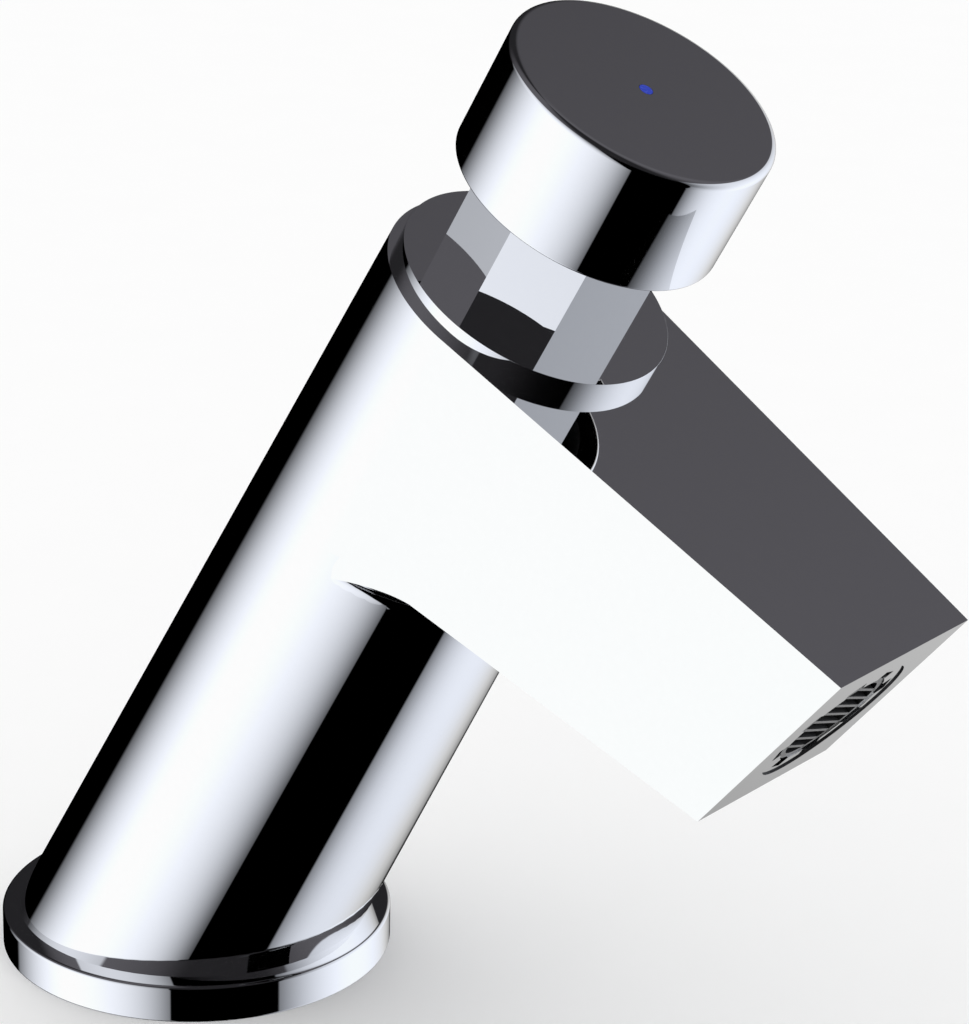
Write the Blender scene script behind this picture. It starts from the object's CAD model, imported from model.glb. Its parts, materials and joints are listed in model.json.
"""Push timed tap in polished chrome, seen from its right-hand side with the spout to the right.

Units are metres and the frame is the CAD's: the deck is z = 0 and the spout points along +X.
"""
import json
from math import cos, hypot, pi, radians, sin, sqrt, tan

import bpy
from mathutils import Matrix, Vector


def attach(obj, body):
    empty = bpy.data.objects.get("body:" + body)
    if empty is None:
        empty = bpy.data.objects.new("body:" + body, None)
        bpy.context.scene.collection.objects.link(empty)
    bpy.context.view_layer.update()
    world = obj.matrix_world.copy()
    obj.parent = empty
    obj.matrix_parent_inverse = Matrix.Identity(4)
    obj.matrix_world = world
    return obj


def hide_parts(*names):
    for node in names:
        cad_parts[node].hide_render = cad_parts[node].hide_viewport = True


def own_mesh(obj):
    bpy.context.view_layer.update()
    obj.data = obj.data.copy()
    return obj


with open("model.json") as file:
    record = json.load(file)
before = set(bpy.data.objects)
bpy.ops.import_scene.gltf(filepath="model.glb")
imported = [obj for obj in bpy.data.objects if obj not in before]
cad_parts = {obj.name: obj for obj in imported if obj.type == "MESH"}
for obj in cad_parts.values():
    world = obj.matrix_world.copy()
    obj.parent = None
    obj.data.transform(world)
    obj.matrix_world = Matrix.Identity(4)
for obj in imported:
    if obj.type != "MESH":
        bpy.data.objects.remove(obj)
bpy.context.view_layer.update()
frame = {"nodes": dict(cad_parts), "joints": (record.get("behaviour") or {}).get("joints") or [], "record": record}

MM = 0.001

# The leaning axis of the body, as the button's joint gives it
PRESS = Vector(frame["joints"][0]["axis"])
AXIS_UP = -PRESS
AXIS_FORWARD = Vector((AXIS_UP.z, 0, -AXIS_UP.x))
FLANGE_HEIGHT = 5.4*MM
AXIS_FOOT = Vector((-FLANGE_HEIGHT*AXIS_UP.x/AXIS_UP.z, 0, 0))

# Camera: where the photograph was taken from, and what lies in the middle of its frame
CAMERA_AZIMUTH = radians(37.64)
CAMERA_ELEVATION = radians(19.74)
CAMERA_ROLL = radians(-1.38)
CAMERA_DISTANCE = 508.2*MM
CAMERA_RIGHT_OF_ORIGIN = 40.3*MM
CAMERA_ABOVE_ORIGIN = 62.0*MM
CAMERA_LENS_MM = 122.7
CAMERA_SENSOR_MM = 36
CAMERA_NEAR = 1*MM

# Studio: two flat soft boxes that stand upright, each in its own flat frame one unit away from the tap.
# An edge is given by where it is dark and where it is lit, and the light falls off from the middle. Turns are
# in degrees from +X. The low and high edges slant by the skew, and the tint fades out between its ends.
PANEL_FRONT = {"turn": -126, "left": (-1.42, -1.24), "right": (1.98, 1.88), "low": (-2.6, -2.4),
               "high": (0.63, 0.59), "skew": 0.3, "middle": (-0.07, -0.34), "fall_left": (0.92, 1.5),
               "fall_right": 0.4, "fall_up": 0.7, "fall_down": 0.1, "tint": (0.95, 0.985, 1.07),
               "tint_ends": (3.0, 4.0), "light": 1.06}
PANEL_BACK = {"turn": 60, "left": (-1.7, -1.58), "right": (1.95, 1.5), "low": (-3.5, -3.2),
              "high": (0.69, 0.63), "skew": 0.12, "middle": (0.0, -0.49), "fall_left": (0.55, 1.0),
              "fall_right": 0.5, "fall_up": 0.3, "fall_down": 0.19, "tint": (0.94, 0.985, 1.09),
              "tint_ends": (0.3, 1.1), "light": 0.99}
LEAST_SKEW = 0.1
# How far up the light's fall to the left goes from its first value to its second
STEEP_LOW = -1.2
STEEP_HIGH = 0.0
LEAST_AHEAD = 0.02
# The dim ceiling, which begins at one angle of height, is full at another, and glows over the soft boxes
CEILING_LEVEL = 0.017
CEILING_START = radians(2)
CEILING_FULL = radians(18)
CEILING_OVER_PANEL = 0.088
CEILING_FALL = 0.75
CEILING_TINT = (0.98, 0.955, 1.07)
BACKGROUND_WHITE = 0.975
ROOM_LIGHT = 1.0

# The casting's curves in the frame of its leaning axis, for its shading
BODY_TOP = 122.8*MM
BODY_FOOT = FLANGE_HEIGHT/AXIS_UP.z
FOOT_RADIUS = 25.25*MM
FOOT_DEEP = FOOT_RADIUS*AXIS_UP.z
RIM_RADIUS = 19.4*MM
SPOUT_REACH = 66.3*MM
SPOUT_END_HALF = 14.4*MM
SPOUT_END_HEIGHT = 29.3*MM
SPOUT_UNDERCUT = tan(radians(10.5))
SPOUT_TAPER = tan(radians(4.7))
SPOUT_BLEND = 5*MM
BLEND_SINK = 0.08*MM
FACET_GAP = 0.06*MM
FACET_AGREE = cos(radians(14))

# Directions round a profile's rounding, in degrees
DOWNWARDS = -90
OUTWARDS = 0
UPWARDS = 90

# The turned chrome pieces: their sides, the steps of their roundings, and the strip that a rounding bends
TURNED_SIDES = 256
ROUNDING_STEPS = 8
ROUNDING_STRIP = 0.02*MM
TURNED_EDGE_ANGLE = radians(30)
FLANGE_RADIUS = 28*MM
FLANGE_ROUND = 0.5*MM
FLANGE_LOW_ROUND = 0.25*MM
FLANGE_BORE = 17.05*MM
GASKET_RADIUS = 25.05*MM
GASKET_HEIGHT = 2*MM
COLLAR_RADIUS = 18.2*MM
COLLAR_HEIGHT = 2.3*MM
COLLAR_ROUND = 0.02*MM
COLLAR_BORE = 12*MM
CAP_RADIUS = 17.8*MM
CAP_LOW = 140*MM
CAP_HIGH = 156.7*MM
CAP_ROUND = 0.9*MM
CAP_HEM = 0.3*MM
CAP_BORE = 15*MM
CAP_CEILING = 153.7*MM
CAP_BOSS_RADIUS = 5.5*MM
CAP_BOSS_LOW = 150.7*MM
STEM_SEAT_RADIUS = 3.05*MM
STEM_TOP = 154.7*MM
DOT_RADIUS = 0.95*MM
DOT_LOW = 155.7*MM
CENTRE_RADIUS = 0.005*MM

# The outlet: its middle, which way it faces, its bore, and the grid's ribs as the photograph shows them
OUTLET_CENTRE = Vector((105.444, 0, 63.008))*MM
OUTLET_FACING = Vector((0.767165, 0, -0.64145))
OUTLET_BORE = 10.9*MM
OUTLET_DEEP = 12*MM
LEAST_DEPTH = 0.01*MM
RIB_TURN = radians(28)
RIB_PITCH = 1.6*MM
RIB_THICK = 0.45*MM
RIB_PAIRS = 4
GRID_FACE = -0.4*MM
GRID_BACK = -4.4*MM
GRID_RADIUS = 7.95*MM
GRID_INNER = 7*MM
GRID_MIDDLE = 7.5*MM
FRONT_AGREE = 0.9

# The faces of a box whose corners run round its low side and then round its high side
BOX_FACES = ((3, 2, 1, 0), (4, 5, 6, 7), (0, 1, 5, 4), (1, 2, 6, 5), (2, 3, 7, 6), (3, 0, 4, 7))

# Grain of the materials: its detail, and the band of it over which the gloss changes
GRAIN_DETAIL = 4.0
GRAIN_LOW = 0.3
GRAIN_HIGH = 0.7

# Floor
FLOOR_HALF = 6.0
FLOOR_DARK = (0.97, 0.97, 0.97, 1)
FLOOR_LIGHT = (0.985, 0.985, 0.985, 1)
FLOOR_GRAIN = 60

# Thread of the inlet shank, G 1/2
SHANK_RADIUS = 20.955/2*MM
SHANK_BOTTOM = -55*MM
SHANK_TOP = 20*MM
SHANK_BORE = 7*MM
SHANK_CHAMFER = 1*MM
SHANK_SIDES = 72
SHANK_EDGE_ANGLE = radians(40)
THREAD_PITCH = 1.814*MM
THREAD_DEPTH = 1.1*MM
THREAD_TOP = -3*MM
THREAD_RUNOUT = 2*MM
STEPS_PER_THREAD = 10
RELIEF_TOP = -34.5*MM
RELIEF_HEIGHT = 2*MM
RELIEF_DEPTH = 1.2*MM
STRAINER_RADIUS = 8.2*MM
STRAINER_HEIGHT = 5*MM
SEAL_GROOVE_MIDDLE = 17*MM
SEAL_GROOVE_HALF = 0.7*MM
SEAL_GROOVE_DEPTH = 1.35*MM

# Return spring, from its shoulder in the sleeve to the piston
SPRING_LOW = 80*MM
SPRING_HIGH = 120*MM
SPRING_OUTER_RADIUS = 7.3*MM
SPRING_WIRE_RADIUS = 0.7*MM
SPRING_TURNS = 8
SPRING_SEAT_GAP = 0.05*MM
STEPS_PER_COIL = 48
WIRE_SIDES = 12


# Sockets of the mix node that carry colours
MIX_SHARE = 0
MIX_FIRST = 6
MIX_SECOND = 7
MIX_RESULT = 2


# Node helpers

def socket(tree, node, value, index):
    """Links a value to a node's input if it is a socket, and otherwise sets it there."""
    if isinstance(value, bpy.types.NodeSocket):
        tree.links.new(value, node.inputs[index])
    else:
        node.inputs[index].default_value = value


def math_node(tree, operation, *values):
    """The result of an arithmetic node."""
    node = tree.nodes.new("ShaderNodeMath")
    node.operation = operation
    for index, value in enumerate(values):
        socket(tree, node, value, index)
    return node.outputs[0]


def ramp_between(tree, value, low, high, at_low, at_high):
    """A smooth step of a value from one level to another."""
    node = tree.nodes.new("ShaderNodeMapRange")
    node.interpolation_type = "SMOOTHSTEP"
    for index, item in enumerate((value, low, high, at_low, at_high)):
        socket(tree, node, item, index)
    return node.outputs[0]


def mix_colours(tree, share, first, second):
    """Mixes two colours. The mix node numbers its sockets for colours apart from those for plain numbers."""
    node = tree.nodes.new("ShaderNodeMix")
    node.data_type = "RGBA"
    for value, index in ((share, MIX_SHARE), (first, MIX_FIRST), (second, MIX_SECOND)):
        socket(tree, node, value, index)
    return node.outputs[MIX_RESULT]


def noise(tree, scale, stretch=(1, 1, 1)):
    """A fine grain in the piece's own coordinates."""
    coordinates = tree.nodes.new("ShaderNodeTexCoord")
    mapping = tree.nodes.new("ShaderNodeMapping")
    mapping.inputs["Scale"].default_value = stretch
    tree.links.new(coordinates.outputs["Object"], mapping.inputs["Vector"])
    node = tree.nodes.new("ShaderNodeTexNoise")
    node.inputs["Scale"].default_value = scale
    node.inputs["Detail"].default_value = GRAIN_DETAIL
    tree.links.new(mapping.outputs["Vector"], node.inputs["Vector"])
    return node.outputs["Fac"]


# Materials

def surface(name, dark, light, rough, grain, metallic=0.0, bump=0.0, stretch=(1, 1, 1)):
    """A surface whose colour and gloss vary a little by a fine grain, with a low relief."""
    material = bpy.data.materials.new(name)
    material.use_nodes = True
    tree = material.node_tree
    shader = tree.nodes["Principled BSDF"]
    shader.inputs["Metallic"].default_value = metallic
    pattern = noise(tree, grain, stretch=stretch)
    tree.links.new(mix_colours(tree, pattern, dark, light), shader.inputs["Base Color"])
    gloss = ramp_between(tree, pattern, GRAIN_LOW, GRAIN_HIGH, *rough)
    tree.links.new(gloss, shader.inputs["Roughness"])
    if bump > 0:
        relief = tree.nodes.new("ShaderNodeBump")
        relief.inputs["Strength"].default_value = 1.0
        relief.inputs["Distance"].default_value = bump
        tree.links.new(pattern, relief.inputs["Height"])
        tree.links.new(relief.outputs["Normal"], shader.inputs["Normal"])
    return material


def make_materials():
    """The part's materials, named as the record's slots are, with a dark lining and a dark steel besides."""
    return {
        "chrome": surface("chrome", (0.965, 0.966, 0.969, 1), (0.983, 0.984, 0.986, 1), (0.012, 0.03), 900,
                          metallic=1.0),
        "brass": surface("brass", (0.62, 0.44, 0.17, 1), (0.74, 0.56, 0.25, 1), (0.22, 0.36), 2500,
                         metallic=1.0, bump=4e-6, stretch=(1, 1, 12)),
        "stainless": surface("stainless", (0.5, 0.5, 0.51, 1), (0.62, 0.62, 0.63, 1), (0.22, 0.38), 3000,
                             metallic=1.0, bump=3e-6, stretch=(1, 1, 10)),
        "rubber": surface("rubber", (0.012, 0.012, 0.012, 1), (0.028, 0.028, 0.029, 1), (0.5, 0.7), 2600,
                          bump=2e-5),
        "dark_steel": surface("dark_steel", (0.03, 0.03, 0.032, 1), (0.06, 0.06, 0.062, 1), (0.35, 0.5), 3000,
                              metallic=1.0, bump=3e-6),
        "acetal": surface("acetal", (0.76, 0.75, 0.71, 1), (0.83, 0.82, 0.78, 1), (0.32, 0.45), 700,
                          bump=4e-6),
        "grey_plastic": surface("grey_plastic", (0.1, 0.1, 0.098, 1), (0.16, 0.158, 0.152, 1), (0.3, 0.45),
                                1800, bump=6e-6),
        "lining": surface("lining", (0.006, 0.006, 0.007, 1), (0.012, 0.012, 0.013, 1), (0.5, 0.7), 1800,
                          bump=6e-6),
        "blue": surface("blue", (0.02, 0.04, 0.42, 1), (0.035, 0.07, 0.55, 1), (0.15, 0.3), 3000),
    }


def dress(materials):
    """Gives each CAD node the material of its slot in the record."""
    for entry in frame["record"]["subparts"]:
        mesh = frame["nodes"][entry["node"]].data
        mesh.materials.clear()
        mesh.materials.append(materials[entry["material_slot"]])


def in_axis_frame(point):
    """How far a point lies forward, sideways and up in the frame of the leaning axis."""
    offset = point - AXIS_FOOT
    return offset.dot(AXIS_FORWARD), offset.y, offset.dot(AXIS_UP)


def wall(x, y, up):
    """Distance of a point from the body's oval wall, and the wall's direction there."""
    grow_x = (RIM_RADIUS - FOOT_DEEP)/(BODY_TOP - BODY_FOOT)
    grow_y = (RIM_RADIUS - FOOT_RADIUS)/(BODY_TOP - BODY_FOOT)
    half_x, half_y = oval_halves(up)
    gap = (hypot(x/half_x, y/half_y) - 1)*half_y
    return gap, Vector((x/half_x**2, y/half_y**2, -x*x*grow_x/half_x**3 - y*y*grow_y/half_y**3))


def oval_halves(up):
    """Half widths of the body's oval section at a height along the axis."""
    share = (up - BODY_FOOT)/(BODY_TOP - BODY_FOOT)
    return FOOT_DEEP + (RIM_RADIUS - FOOT_DEEP)*share, FOOT_RADIUS + (RIM_RADIUS - FOOT_RADIUS)*share


def touching_slope(half_x, half_y, x, y):
    """Slope of the line through a point that just touches an oval."""
    return (x*y - sqrt(x*x*y*y - (x*x - half_x**2)*(y*y - half_y**2)))/(x*x - half_x**2)


def spout_root():
    """Depth, height along the axis, reach and oval half widths of the spout's underside at the axis."""
    depth = SPOUT_END_HEIGHT + (SPOUT_REACH - SPOUT_END_HEIGHT*SPOUT_UNDERCUT)*SPOUT_TAPER
    half_x, half_y = oval_halves(BODY_TOP - depth)
    return depth, BODY_TOP - depth, SPOUT_REACH - depth*SPOUT_UNDERCUT, half_x, half_y


def spout_side(x, y, up):
    """Distance of a point from the spout's twisted side, and the side's direction there."""
    root_depth, _, root_reach, half_x, half_y = spout_root()
    top_slope = touching_slope(RIM_RADIUS, RIM_RADIUS, SPOUT_REACH, SPOUT_END_HALF)
    low_slope = touching_slope(half_x, half_y, root_reach, SPOUT_END_HALF)
    top_y = SPOUT_END_HALF + top_slope*(x - SPOUT_REACH)
    low_y = SPOUT_END_HALF + low_slope*(x - root_reach)
    share = (BODY_TOP - up)/root_depth
    hand = 1 if y > 0 else -1
    gap = hand*y - top_y - (low_y - top_y)*share
    return gap, Vector((-top_slope - (low_slope - top_slope)*share, hand, (low_y - top_y)/root_depth))


def root_blend(x, y, up):
    """Distance of a point from the hollow under the spout's root, and the hollow's direction there."""
    _, root_up, _, _, half_y = spout_root()
    slope = (FOOT_RADIUS - RIM_RADIUS)/(BODY_TOP - BODY_FOOT)
    height = SPOUT_BLEND*(1 + slope/hypot(1, slope))
    low_half_x, low_half_y = oval_halves(root_up - height)
    squeeze = low_half_x/low_half_y
    across = x/squeeze
    radius = hypot(across, y)
    inwards = half_y + height*hypot(1, slope) - BLEND_SINK - radius
    upwards = BLEND_SINK - SPOUT_BLEND - (up - root_up - SPOUT_TAPER*x)
    gap = hypot(inwards, upwards) - SPOUT_BLEND
    return gap, Vector((inwards*across/(radius*squeeze) - upwards*SPOUT_TAPER, inwards*y/radius, upwards))


def true_normal(curve, point):
    """A curve's direction at a point, in the part's frame."""
    forward, sideways, up = curve(*in_axis_frame(point))[1].normalized()
    return (AXIS_FORWARD*forward + Vector((0, sideways, 0)) + AXIS_UP*up).normalized()


def shade_casting(node):
    """Shades the casting's facets as the smooth curves that they stand for."""
    mesh = node.data
    normals = [corner.vector.copy() for corner in mesh.corner_normals]
    for polygon in mesh.polygons:
        corners = [mesh.vertices[index].co for index in polygon.vertices]
        for curve in (wall, spout_side, root_blend):
            if max(abs(curve(*in_axis_frame(corner))[0]) for corner in corners) > FACET_GAP:
                continue
            if true_normal(curve, polygon.center).dot(polygon.normal) < FACET_AGREE:
                continue
            for index, corner in zip(polygon.loop_indices, corners):
                normals[index] = true_normal(curve, corner)
            break
    mesh.shade_smooth()
    mesh.normals_split_custom_set(normals)


def darken_bore(node, material):
    """Gives the casting's outlet bore, which isn't polished, a dull dark wall."""
    mesh = node.data
    mesh.materials.append(material)
    for polygon in mesh.polygons:
        offset = polygon.center - OUTLET_CENTRE
        depth = -offset.dot(OUTLET_FACING)
        if LEAST_DEPTH < depth < OUTLET_DEEP and offset.cross(OUTLET_FACING).length < OUTLET_BORE:
            polygon.material_index = 1


# Pieces that replace plain solids

def on_axis(across, sideways, along):
    """A point in the frame of the leaning axis."""
    return AXIS_FOOT + AXIS_FORWARD*across + Vector((0, sideways, 0)) + AXIS_UP*along


def upright(x, y, up):
    """A point in the part's own frame."""
    return Vector((x, y, up))


def new_piece(name, points, faces, material, slot, body):
    """A smooth-shaded piece that rides on a body and has a slot of the record."""
    mesh = bpy.data.meshes.new(name)
    mesh.from_pydata(points, [], faces)
    mesh.validate()
    mesh.materials.append(material)
    mesh.shade_smooth()
    piece = bpy.data.objects.new(name, mesh)
    bpy.context.scene.collection.objects.link(piece)
    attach(piece, body)
    return piece


def tube_faces(rings, sides):
    """Quads between neighbouring rings of points."""
    faces = []
    for ring in range(rings - 1):
        for side in range(sides):
            after = (side + 1) % sides
            low, high = ring*sides, (ring + 1)*sides
            faces.append((low + side, low + after, high + after, high + side))
    return faces


def closed_faces(rings, sides):
    """Quads between neighbouring rings of points, and between the last ring and the first."""
    faces = tube_faces(rings, sides)
    last = (rings - 1)*sides
    for side in range(sides):
        after = (side + 1) % sides
        faces.append((last + side, last + after, after, side))
    return faces


def rounding(radius, height, round_radius, start, end):
    """Profile points of a rounding about a centre, with a narrow strip of each flat face beside it."""
    points = []
    for step in range(ROUNDING_STEPS + 1):
        angle = radians(start + (end - start)*step/ROUNDING_STEPS)
        points.append((radius + round_radius*cos(angle), height + round_radius*sin(angle)))
    before, after = radians(start), radians(end)
    first = (points[0][0] + ROUNDING_STRIP*sin(before), points[0][1] - ROUNDING_STRIP*cos(before))
    last = (points[-1][0] - ROUNDING_STRIP*sin(after), points[-1][1] + ROUNDING_STRIP*cos(after))
    return [first] + points + [last]


def turned_mesh(profile, place):
    """Points and faces of a ring turned from a closed profile of radii and heights."""
    points = []
    for radius, height in profile:
        for side in range(TURNED_SIDES):
            turn = 2*pi*side/TURNED_SIDES
            points.append(place(radius*cos(turn), radius*sin(turn), height))
    return points, closed_faces(len(profile), TURNED_SIDES)


def turned_piece(name, profile, place, material, node, body):
    """A turned chrome ring in place of a CAD node."""
    piece = new_piece(name, *turned_mesh(profile, place), material, "chrome", body)
    piece.data.set_sharp_from_angle(angle=TURNED_EDGE_ANGLE)
    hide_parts(node)
    return piece


def at_outlet(along, across, outwards):
    """A point in the frame of the outlet's ribs."""
    rightwards = Vector((0, 1, 0))
    ribwards = rightwards*cos(RIB_TURN) + rightwards.cross(OUTLET_FACING)*sin(RIB_TURN)
    return OUTLET_CENTRE + ribwards*along + OUTLET_FACING.cross(ribwards)*across + OUTLET_FACING*outwards


def make_grid(materials):
    """The outlet grid: a ring with straight ribs across it, light at the front and dark behind."""
    rim = [(GRID_RADIUS, GRID_BACK), (GRID_RADIUS, GRID_FACE), (GRID_INNER, GRID_FACE),
           (GRID_INNER, GRID_BACK)]
    points, faces = turned_mesh(rim, at_outlet)
    for rib in range(-RIB_PAIRS, RIB_PAIRS):
        middle = (rib + 0.5)*RIB_PITCH
        half = sqrt(GRID_MIDDLE**2 - (abs(middle) + RIB_THICK/2)**2)
        first = len(points)
        for outwards in (GRID_BACK, GRID_FACE):
            for along, side in ((-half, -1), (half, -1), (half, 1), (-half, 1)):
                points.append(at_outlet(along, middle + side*RIB_THICK/2, outwards))
        faces += [tuple(first + index for index in corners) for corners in BOX_FACES]
    grid = new_piece("ribbed_grid", points, faces, materials["grey_plastic"], "grey_plastic", "tap")
    grid.data.set_sharp_from_angle(angle=TURNED_EDGE_ANGLE)
    grid.data.materials.append(materials["lining"])
    for polygon in grid.data.polygons:
        if polygon.normal.dot(OUTLET_FACING) < FRONT_AGREE:
            polygon.material_index = 1
    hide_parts("aerator_grid")


def make_flange(material):
    """The base flange, with roundings at both edges and a seat for the gasket below."""
    profile = rounding(FLANGE_RADIUS - FLANGE_LOW_ROUND, FLANGE_LOW_ROUND, FLANGE_LOW_ROUND,
                       DOWNWARDS, OUTWARDS)
    profile += rounding(FLANGE_RADIUS - FLANGE_ROUND, FLANGE_HEIGHT - FLANGE_ROUND, FLANGE_ROUND,
                        OUTWARDS, UPWARDS)
    profile += [(FLANGE_BORE, FLANGE_HEIGHT), (FLANGE_BORE, GASKET_HEIGHT), (GASKET_RADIUS, GASKET_HEIGHT),
                (GASKET_RADIUS, 0)]
    turned_piece("turned_flange", profile, upright, material, "base_flange", "tap")


def make_collar(material):
    """The thin disc on the body's flat top, with a crisp upper edge."""
    top = BODY_TOP + COLLAR_HEIGHT
    profile = [(COLLAR_RADIUS, BODY_TOP)]
    profile += rounding(COLLAR_RADIUS - COLLAR_ROUND, top - COLLAR_ROUND, COLLAR_ROUND, OUTWARDS, UPWARDS)
    profile += [(COLLAR_BORE, top), (COLLAR_BORE, BODY_TOP)]
    turned_piece("turned_collar", profile, on_axis, material, "collar", "tap")


def make_cap(material, lining):
    """The button's cap, with the dot's seat in its top and a dark hollow with the stem's boss below."""
    profile = rounding(CAP_RADIUS - CAP_HEM, CAP_LOW + CAP_HEM, CAP_HEM, DOWNWARDS, OUTWARDS)
    profile += rounding(CAP_RADIUS - CAP_ROUND, CAP_HIGH - CAP_ROUND, CAP_ROUND, OUTWARDS, UPWARDS)
    profile += [(DOT_RADIUS, CAP_HIGH), (DOT_RADIUS, DOT_LOW), (CENTRE_RADIUS, DOT_LOW)]
    hollow_start = len(profile) + 1
    profile += [(CENTRE_RADIUS, STEM_TOP), (STEM_SEAT_RADIUS, STEM_TOP), (STEM_SEAT_RADIUS, CAP_BOSS_LOW),
                (CAP_BOSS_RADIUS, CAP_BOSS_LOW), (CAP_BOSS_RADIUS, CAP_CEILING), (CAP_BORE, CAP_CEILING),
                (CAP_BORE, CAP_LOW)]
    cap = turned_piece("turned_cap", profile, on_axis, material, "button_cap", "push_button")
    cap.data.materials.append(lining)
    for polygon in cap.data.polygons[hollow_start*TURNED_SIDES:(len(profile) - 1)*TURNED_SIDES]:
        polygon.material_index = 1


def make_spring(material):
    """The return spring as one wound wire, which shortens as the button goes down."""
    coil_radius = SPRING_OUTER_RADIUS - SPRING_WIRE_RADIUS
    low = SPRING_LOW + SPRING_WIRE_RADIUS + SPRING_SEAT_GAP
    high = SPRING_HIGH - SPRING_WIRE_RADIUS - SPRING_SEAT_GAP
    count = SPRING_TURNS*STEPS_PER_COIL
    points = []
    for step in range(count + 1):
        turn = 2*pi*step/STEPS_PER_COIL
        along = low + (high - low)*step/count
        for side in range(WIRE_SIDES):
            around = 2*pi*side/WIRE_SIDES
            radius = coil_radius + SPRING_WIRE_RADIUS*cos(around)
            points.append(on_axis(radius*cos(turn), radius*sin(turn), along + SPRING_WIRE_RADIUS*sin(around)))
    faces = tube_faces(count + 1, WIRE_SIDES)
    faces.append(tuple(range(WIRE_SIDES))[::-1])
    faces.append(tuple(count*WIRE_SIDES + side for side in range(WIRE_SIDES)))
    spring = new_piece("return_spring_wire", points, faces, material, "stainless", "tap")
    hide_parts("return_spring")
    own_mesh(spring)


def shank_outline(height, turn):
    """Outer radius of the shank at a height and an angle, with its thread, relief, groove and chamfer."""
    if abs(height - SEAL_GROOVE_MIDDLE) < SEAL_GROOVE_HALF:
        return SHANK_RADIUS - SEAL_GROOVE_DEPTH
    if RELIEF_TOP - RELIEF_HEIGHT < height < RELIEF_TOP:
        return SHANK_RADIUS - RELIEF_DEPTH
    if height > THREAD_TOP:
        return SHANK_RADIUS
    phase = (height/THREAD_PITCH + turn/(2*pi)) % 1.0
    valley = 1 - abs(2*phase - 1)
    runout = min(1.0, (THREAD_TOP - height)/THREAD_RUNOUT)
    chamfer = max(0.0, SHANK_CHAMFER - (height - SHANK_BOTTOM))
    return min(SHANK_RADIUS - THREAD_DEPTH*valley*runout, SHANK_RADIUS - chamfer)


def make_shank(material):
    """The inlet shank with its thread, its bore and the strainer's seat."""
    steps = round((SHANK_TOP - SHANK_BOTTOM)/THREAD_PITCH*STEPS_PER_THREAD)
    turns = [2*pi*side/SHANK_SIDES for side in range(SHANK_SIDES)]
    rings = []
    for step in range(steps + 1):
        height = SHANK_BOTTOM + (SHANK_TOP - SHANK_BOTTOM)*step/steps
        rings.append([(shank_outline(height, turn), height) for turn in turns])
    inside = [(SHANK_BORE, SHANK_TOP), (SHANK_BORE, SHANK_BOTTOM + STRAINER_HEIGHT),
              (STRAINER_RADIUS, SHANK_BOTTOM + STRAINER_HEIGHT), (STRAINER_RADIUS, SHANK_BOTTOM)]
    for corner in inside:
        rings.append([corner]*SHANK_SIDES)
    points = [(radius*cos(turn), radius*sin(turn), height)
              for ring in rings for turn, (radius, height) in zip(turns, ring)]
    faces = closed_faces(len(rings), SHANK_SIDES)
    shank = new_piece("threaded_shank", points, faces, material, "brass", "tap")
    shank.data.set_sharp_from_angle(angle=SHANK_EDGE_ANGLE)
    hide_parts("inlet_shank")


# Studio

def squared_excess(tree, value, limit, sign):
    """The square of how far a value lies above a limit, or below it where the sign is negative."""
    excess = math_node(tree, "MULTIPLY", math_node(tree, "SUBTRACT", value, limit), sign)
    positive = math_node(tree, "MAXIMUM", excess, 0.0)
    return math_node(tree, "MULTIPLY", positive, positive)


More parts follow.
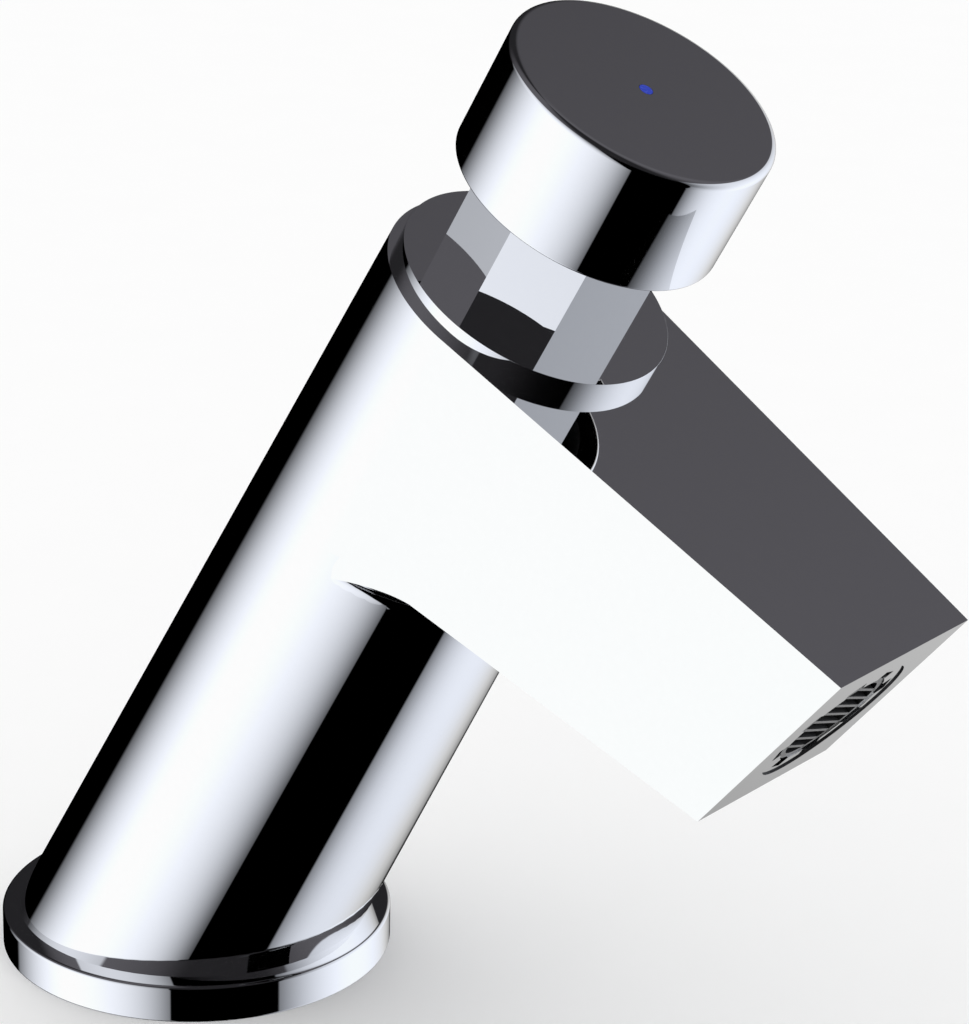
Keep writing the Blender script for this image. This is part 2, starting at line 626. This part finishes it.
def panel_colour(tree, x, y, z, panel):
    """Colour of one soft box, and of the ceiling above it, in the direction (x, y, z)."""
    turn = radians(panel["turn"])
    ahead = math_node(tree, "ADD", math_node(tree, "MULTIPLY", x, cos(turn)),
                      math_node(tree, "MULTIPLY", y, sin(turn)))
    aside = math_node(tree, "SUBTRACT", math_node(tree, "MULTIPLY", y, cos(turn)),
                      math_node(tree, "MULTIPLY", x, sin(turn)))
    in_front = math_node(tree, "GREATER_THAN", ahead, LEAST_AHEAD)
    distance = math_node(tree, "MAXIMUM", ahead, LEAST_AHEAD)
    across = math_node(tree, "DIVIDE", aside, distance)
    rise = math_node(tree, "DIVIDE", z, distance)
    steep = ramp_between(tree, rise, STEEP_LOW, STEEP_HIGH, *panel["fall_left"])
    middle_across, middle_rise = panel["middle"]
    falls = [math_node(tree, "MULTIPLY", squared_excess(tree, across, middle_across, -1.0), steep)]
    for value, limit, sign, fall in ((across, middle_across, 1.0, panel["fall_right"]),
                                     (rise, middle_rise, 1.0, panel["fall_up"]),
                                     (rise, middle_rise, -1.0, panel["fall_down"])):
        falls.append(math_node(tree, "MULTIPLY", squared_excess(tree, value, limit, sign), fall))
    fall = falls[0]
    for item in falls[1:]:
        fall = math_node(tree, "ADD", fall, item)
    light = math_node(tree, "MULTIPLY", math_node(tree, "EXPONENT", math_node(tree, "MULTIPLY", fall, -1.0)),
                      panel["light"])
    shift = math_node(tree, "ADD", math_node(tree, "MULTIPLY", across, panel["skew"]), 1.0)
    level = math_node(tree, "DIVIDE", rise, math_node(tree, "MAXIMUM", shift, LEAST_SKEW))
    inside = in_front
    for value, edge in ((across, "left"), (across, "right"), (level, "low"), (level, "high")):
        inside = math_node(tree, "MULTIPLY", inside, ramp_between(tree, value, *panel[edge], 0.0, 1.0))
    tinted = ramp_between(tree, across, *panel["tint_ends"], 1.0, 0.0)
    over = math_node(tree, "MULTIPLY", math_node(tree, "MULTIPLY", across, across), -CEILING_FALL)
    ceiling = math_node(tree, "MULTIPLY", math_node(tree, "EXPONENT", over), CEILING_OVER_PANEL)
    ceiling = math_node(tree, "MULTIPLY", ceiling, ramp_between(tree, level, *panel["high"], 1.0, 0.0))
    ceiling = math_node(tree, "MULTIPLY", ceiling, in_front)
    channels = []
    for tint, share in zip(panel["tint"], CEILING_TINT):
        factor = math_node(tree, "ADD", math_node(tree, "MULTIPLY", tinted, tint - 1), 1.0)
        shine = math_node(tree, "MINIMUM", math_node(tree, "MULTIPLY", light, factor), 1.0)
        glow = math_node(tree, "MULTIPLY", ceiling, share)
        channels.append(math_node(tree, "ADD", math_node(tree, "MULTIPLY", shine, inside), glow))
    return channels


def studio_colour(tree):
    """What polished metal sees: the two soft boxes, a dark room between them and a dim ceiling."""
    direction = tree.nodes.new("ShaderNodeTexCoord").outputs["Generated"]
    parts = tree.nodes.new("ShaderNodeSeparateXYZ")
    tree.links.new(direction, parts.inputs[0])
    x, y, z = parts.outputs
    front = panel_colour(tree, x, y, z, PANEL_FRONT)
    back = panel_colour(tree, x, y, z, PANEL_BACK)
    height = math_node(tree, "ARCSINE", z)
    ceiling = ramp_between(tree, height, CEILING_START, CEILING_FULL, 0.0, CEILING_LEVEL)
    colour = tree.nodes.new("ShaderNodeCombineColor")
    for index, share in enumerate(CEILING_TINT):
        both = math_node(tree, "ADD", front[index], back[index])
        total = math_node(tree, "ADD", both, math_node(tree, "MULTIPLY", ceiling, share))
        tree.links.new(total, colour.inputs[index])
    return colour.outputs[0]


def make_world():
    """White to the camera, an even soft light on matt surfaces, and the studio in polished ones."""
    world = bpy.data.worlds.new("studio")
    bpy.context.scene.world = world
    world.use_nodes = True
    tree = world.node_tree
    background = tree.nodes["Background"]
    path = tree.nodes.new("ShaderNodeLightPath")
    plain = (ROOM_LIGHT, ROOM_LIGHT, ROOM_LIGHT, 1)
    white = (BACKGROUND_WHITE, BACKGROUND_WHITE, BACKGROUND_WHITE, 1)
    lit = mix_colours(tree, path.outputs["Is Glossy Ray"], plain, studio_colour(tree))
    seen = mix_colours(tree, path.outputs["Is Camera Ray"], lit, white)
    tree.links.new(seen, background.inputs["Color"])


def make_floor():
    """A pale deck that keeps the tap's shadow. Polished metal sees the studio instead."""
    mesh = bpy.data.meshes.new("floor")
    corners = [(-FLOOR_HALF, -FLOOR_HALF, 0), (FLOOR_HALF, -FLOOR_HALF, 0),
               (FLOOR_HALF, FLOOR_HALF, 0), (-FLOOR_HALF, FLOOR_HALF, 0)]
    mesh.from_pydata(corners, [], [(0, 1, 2, 3)])
    material = bpy.data.materials.new("floor")
    material.use_nodes = True
    tree = material.node_tree
    shader = tree.nodes["Principled BSDF"]
    grain = mix_colours(tree, noise(tree, FLOOR_GRAIN), FLOOR_DARK, FLOOR_LIGHT)
    tree.links.new(grain, shader.inputs["Base Color"])
    shader.inputs["Roughness"].default_value = 1.0
    shader.inputs["Specular IOR Level"].default_value = 0.0
    mesh.materials.append(material)
    floor = bpy.data.objects.new("floor", mesh)
    bpy.context.scene.collection.objects.link(floor)
    floor.visible_glossy = False


def make_camera():
    """The photograph's camera."""
    back = Vector((sin(CAMERA_AZIMUTH)*cos(CAMERA_ELEVATION), -cos(CAMERA_AZIMUTH)*cos(CAMERA_ELEVATION),
                   sin(CAMERA_ELEVATION)))
    level_right = Vector((cos(CAMERA_AZIMUTH), sin(CAMERA_AZIMUTH), 0))
    level_up = back.cross(level_right)
    right = cos(CAMERA_ROLL)*level_right - sin(CAMERA_ROLL)*level_up
    up = sin(CAMERA_ROLL)*level_right + cos(CAMERA_ROLL)*level_up
    data = bpy.data.cameras.new("camera")
    data.sensor_fit = "VERTICAL"
    data.sensor_height = CAMERA_SENSOR_MM
    data.lens = CAMERA_LENS_MM
    data.clip_start = CAMERA_NEAR
    camera = bpy.data.objects.new("camera", data)
    bpy.context.scene.collection.objects.link(camera)
    camera.matrix_world = Matrix((right, up, back)).transposed().to_4x4()
    camera.location = (back*CAMERA_DISTANCE + level_right*CAMERA_RIGHT_OF_ORIGIN
                       + level_up*CAMERA_ABOVE_ORIGIN)
    bpy.context.scene.camera = camera


make_camera()
materials = make_materials()
dress(materials)
shade_casting(frame["nodes"]["body_casting"])
darken_bore(frame["nodes"]["body_casting"], materials["lining"])
frame["nodes"]["aerator_screen"].data.materials[0] = materials["dark_steel"]
make_flange(materials["chrome"])
make_collar(materials["chrome"])
make_cap(materials["chrome"], materials["lining"])
make_grid(materials)
make_spring(materials["stainless"])
make_shank(materials["brass"])
make_world()
make_floor()
bpy.context.scene.view_settings.view_transform = "Standard"
